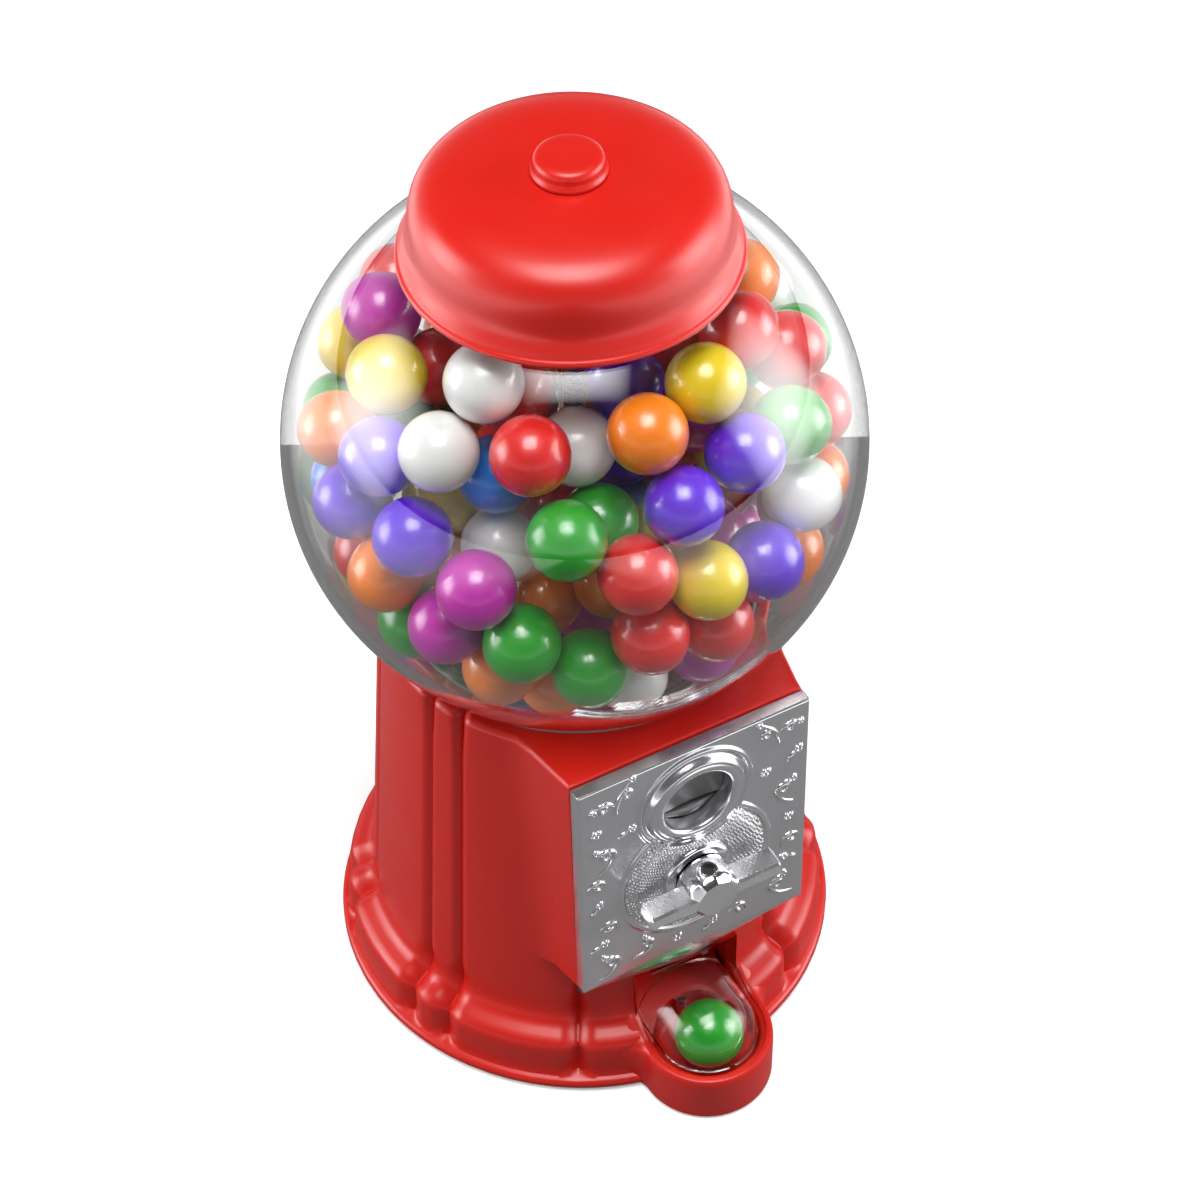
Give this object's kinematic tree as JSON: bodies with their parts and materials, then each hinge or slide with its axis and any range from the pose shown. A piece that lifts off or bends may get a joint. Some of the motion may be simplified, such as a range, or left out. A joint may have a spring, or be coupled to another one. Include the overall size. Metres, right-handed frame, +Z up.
{
  "type": "gumball machine",
  "caption": "Table-top gumball machine: glass globe of gumballs on a fluted cast body with a turn-handle coin front, tray with clear flap, and domed lid.",
  "frame": {"origin": "centre of the round base at the level of the foot pads that it rests on", "axes": "+Z up through the globe's centre rod, -Y towards the coin front and tray, +X to the right seen from the front"},
  "size_m": [0.124, 0.1366, 0.2306],
  "materials": {
    "red_enamel": "gloss",
    "chrome": "polished",
    "dark_chrome": "satin",
    "glass": "clear",
    "clear_plastic": "clear",
    "steel": "satin",
    "brass": "satin",
    "white_plastic": "satin",
    "black_plastic": "matte",
    "rubber": "matte",
    "gum_red": "gloss",
    "gum_orange": "gloss",
    "gum_yellow": "gloss",
    "gum_green": "gloss",
    "gum_violet": "gloss",
    "gum_blue": "gloss",
    "gum_magenta": "gloss",
    "gum_white": "gloss"
  },
  "bodies": {
    "machine": {"body_casting": "red_enamel", "base_cover": "steel", "cover_screws": "steel", "foot_pads": "rubber", "nut_plug": "rubber", "centre_rod": "steel", "rod_nut": "steel", "rod_washer": "steel", "support_tube": "steel", "globe": "glass", "globe_gasket": "rubber", "hopper_ring": "white_plastic", "ball_guard": "steel", "guard_rivets": "steel", "wheel_floor": "steel", "ball_chute": "white_plastic", "front_plate": "dark_chrome", "plate_screws": "steel", "coin_cup": "dark_chrome", "shaft_bushing": "chrome", "back_plate": "steel", "back_bushing": "brass", "mech_spacers": "steel", "mech_screws": "steel", "pawl_pin": "steel", "pawl_spring": "steel", "flap_pin": "steel", "tray_gumball": "gum_green", "gumballs_red": "gum_red", "gumballs_orange": "gum_orange", "gumballs_yellow": "gum_yellow", "gumballs_green": "gum_green", "gumballs_violet": "gum_violet", "gumballs_blue": "gum_blue", "gumballs_magenta": "gum_magenta", "gumballs_white": "gum_white"},
    "handle_set": {"handle": "chrome", "handle_pin": "steel", "handle_shaft": "steel", "coin_wheel": "steel", "ratchet_wheel": "steel", "drive_gear": "brass", "shaft_clip": "steel"},
    "wheel_set": {"dispensing_wheel": "white_plastic", "wheel_pegs": "steel", "pocket_gumballs": "gum_orange"},
    "pawl": {"pawl": "steel"},
    "flap": {"tray_flap": "clear_plastic"},
    "coin_door": {"coin_door": "black_plastic"},
    "lid": {"lid": "red_enamel", "lid_gasket": "rubber"},
    "knob": {"lid_knob": "red_enamel"}
  },
  "joints": [
    {"name": "handle_turn", "type": "hinge", "parent": "machine", "child": "handle_set", "pos_m": [0, -0.0521, 0.0668], "axis": [0, -0.9998, 0.0192], "continuous": true},
    {"name": "wheel_turn", "type": "hinge", "parent": "machine", "child": "wheel_set", "pos_m": [0, 0, 0.08], "axis": [0, 0, 1], "continuous": true},
    {"name": "pawl_rock", "type": "hinge", "parent": "machine", "child": "pawl", "pos_m": [0.017, -0.04493, 0.07566], "axis": [0, -0.9998, 0.0192], "range_deg": [0, 10]},
    {"name": "flap_lift", "type": "hinge", "parent": "machine", "child": "flap", "pos_m": [0, -0.045, 0.0254], "axis": [-1, 0, 0], "range_deg": [0, 30]},
    {"name": "coin_door_twist", "type": "hinge", "parent": "machine", "child": "coin_door", "pos_m": [0, 0.03, 0.002], "axis": [0, 0, 1], "range_deg": [-40, 0]},
    {"name": "lid_lift", "type": "slide", "parent": "machine", "child": "lid", "axis": [0, 0, 1], "range_m": [0, 0.06]},
    {"name": "knob_turn", "type": "hinge", "parent": "lid", "child": "knob", "pos_m": [0, 0, 0.2285], "axis": [0, 0, 1], "continuous": true}
  ],
  "couplings": [
    {"joint": "wheel_turn", "follows": "handle_turn", "ratio": -0.25}
  ]
}
